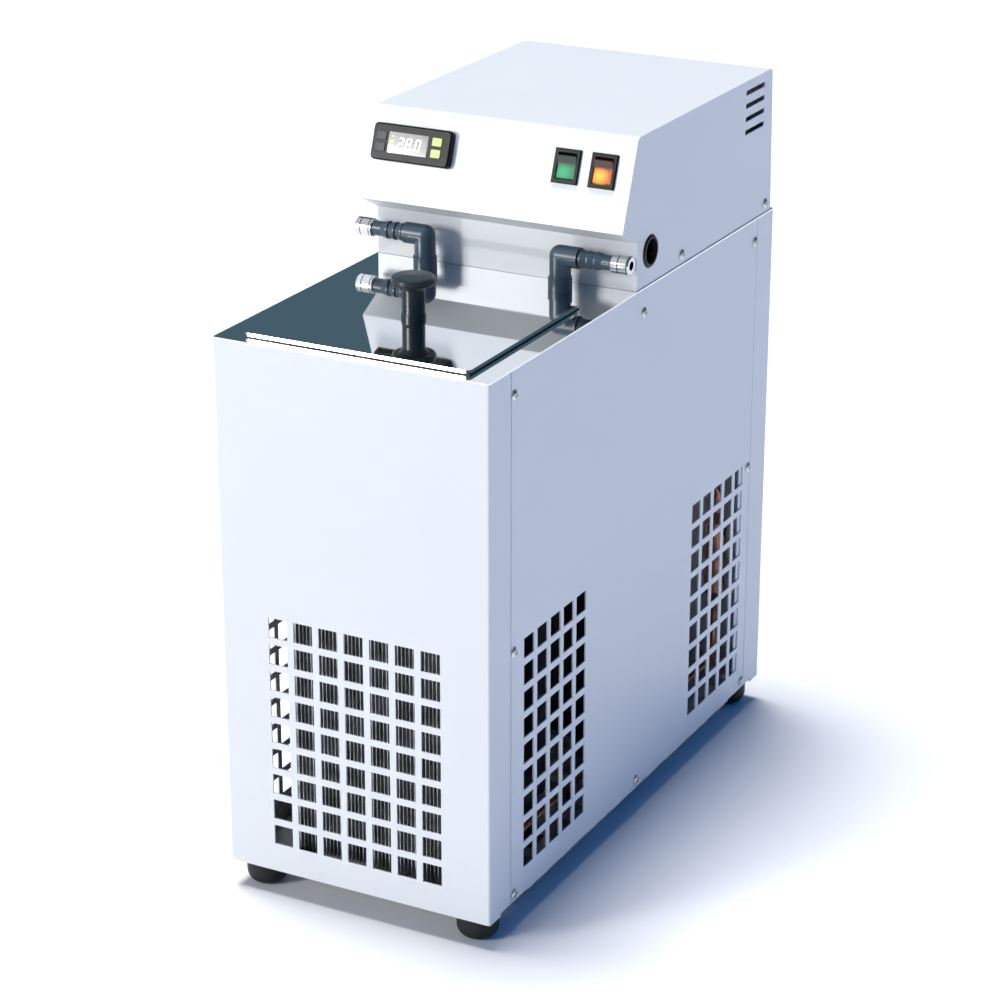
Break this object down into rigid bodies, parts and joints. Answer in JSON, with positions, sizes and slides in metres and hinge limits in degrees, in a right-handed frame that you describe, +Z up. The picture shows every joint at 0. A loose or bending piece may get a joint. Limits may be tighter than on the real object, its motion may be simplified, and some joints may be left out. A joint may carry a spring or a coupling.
{
  "type": "refrigerated water bath",
  "caption": "Free-standing refrigerated water bath with a white vented cabinet, polished steel deck and lid, hose nozzles and a rear head with controller and rocker switches.",
  "frame": {"origin": "on the floor, at the bottom centre of the bounding box, under the middle of the cabinet", "axes": "+Z up, -Y towards the front with the lid, +X to the right of someone who faces the front"},
  "size_m": [0.262, 0.56, 0.63],
  "materials": {
    "painted_white": "satin powder coat",
    "polished_steel": "mirror-polished stainless steel",
    "stainless": "drawn stainless steel",
    "galvanised": "galvanised sheet",
    "foam": "rigid foam",
    "aluminium_fins": "thin fins",
    "copper": "bright copper tube",
    "black_paint": "gloss black enamel",
    "motor_grey": "grey enamel",
    "steel_shafts": "ground steel",
    "black_plastic": "moulded",
    "slate_plastic": "moulded, slightly glossy",
    "pump_plastic": "moulded",
    "black_rubber": "smooth",
    "chromed_tips": "bright plated",
    "zinc_screws": "zinc plated",
    "display": "smoked",
    "lime_keys": "moulded",
    "grey_keys": "moulded",
    "green_rocker": "translucent",
    "orange_rocker": "translucent",
    "circuit_green": "lacquered",
    "nylon": "moulded"
  },
  "bodies": {
    "cabinet": {"front_panel": "painted_white", "rear_panel": "painted_white", "right_side_panel": "painted_white", "left_side_panel": "painted_white", "head_cover": "painted_white", "deck_plate": "polished_steel", "lid": "polished_steel", "bath_tank": "stainless", "pump_column": "stainless", "temperature_probe": "stainless", "delivery_pipe": "stainless", "base_pan": "galvanised", "fan_baffle": "galvanised", "fan_strap": "galvanised", "head_rails": "galvanised", "condenser_end_plates": "galvanised", "tank_insulation": "foam", "condenser_core": "aluminium_fins", "condenser_bends": "copper", "cooling_coil": "copper", "discharge_line": "copper", "liquid_line": "copper", "filter_drier": "copper", "compressor": "black_paint", "fan_motor": "motor_grey", "pump_motor": "motor_grey", "lid_knob": "black_plastic", "fuse_holder": "black_plastic", "cord_gland": "black_plastic", "controller_case": "black_plastic", "power_switch_frame": "black_plastic", "cooling_switch_frame": "black_plastic", "nozzle_bases": "slate_plastic", "nozzle_nuts": "slate_plastic", "nozzle_elbows": "slate_plastic", "hose_nozzles": "slate_plastic", "pump_housing": "pump_plastic", "probe_gland": "pump_plastic", "feet": "black_rubber", "lid_seal": "black_rubber", "side_grommet": "black_rubber", "compressor_mounts": "black_rubber", "nozzle_tips": "chromed_tips", "panel_screws": "zinc_screws", "foot_screws": "zinc_screws", "knob_screw": "zinc_screws", "display_window": "display", "circuit_board": "circuit_green", "board_standoffs": "nylon"},
    "power_rocker": {"power_switch_rocker": "green_rocker"},
    "cooling_rocker": {"cooling_switch_rocker": "orange_rocker"},
    "upper_left_key": {"upper_left_key": "grey_keys"},
    "lower_left_key": {"lower_left_key": "grey_keys"},
    "upper_right_key": {"upper_right_key": "lime_keys"},
    "lower_right_key": {"lower_right_key": "lime_keys"},
    "fan_rotor": {"fan_blades": "black_plastic", "fan_shaft": "steel_shafts"},
    "pump_rotor": {"pump_impeller": "pump_plastic", "pump_shaft": "steel_shafts"}
  },
  "joints": [
    {"name": "power_switch_tip", "type": "hinge", "parent": "cabinet", "child": "power_rocker", "pos_m": [0.0645, -0.02221, 0.59961], "axis": [1, 0, 0], "range_deg": [-16, 0]},
    {"name": "cooling_switch_tip", "type": "hinge", "parent": "cabinet", "child": "cooling_rocker", "pos_m": [0.0985, -0.02221, 0.59961], "axis": [1, 0, 0], "range_deg": [-16, 0]},
    {"name": "upper_left_key_press", "type": "slide", "parent": "cabinet", "child": "upper_left_key", "axis": [0, 0.9367, -0.3502], "range_m": [0, 0.0006], "stiffness_N_per_m": 300},
    {"name": "lower_left_key_press", "type": "slide", "parent": "cabinet", "child": "lower_left_key", "axis": [0, 0.9367, -0.3502], "range_m": [0, 0.0006], "stiffness_N_per_m": 300},
    {"name": "upper_right_key_press", "type": "slide", "parent": "cabinet", "child": "upper_right_key", "axis": [0, 0.9367, -0.3502], "range_m": [0, 0.0006], "stiffness_N_per_m": 300},
    {"name": "lower_right_key_press", "type": "slide", "parent": "cabinet", "child": "lower_right_key", "axis": [0, 0.9367, -0.3502], "range_m": [0, 0.0006], "stiffness_N_per_m": 300},
    {"name": "fan_spin", "type": "hinge", "parent": "cabinet", "child": "fan_rotor", "pos_m": [0, -0.14, 0.155], "axis": [0, 1, 0], "continuous": true},
    {"name": "pump_spin", "type": "hinge", "parent": "cabinet", "child": "pump_rotor", "pos_m": [0, 0.028, 0.5], "axis": [0, 0, 1], "continuous": true}
  ]
}
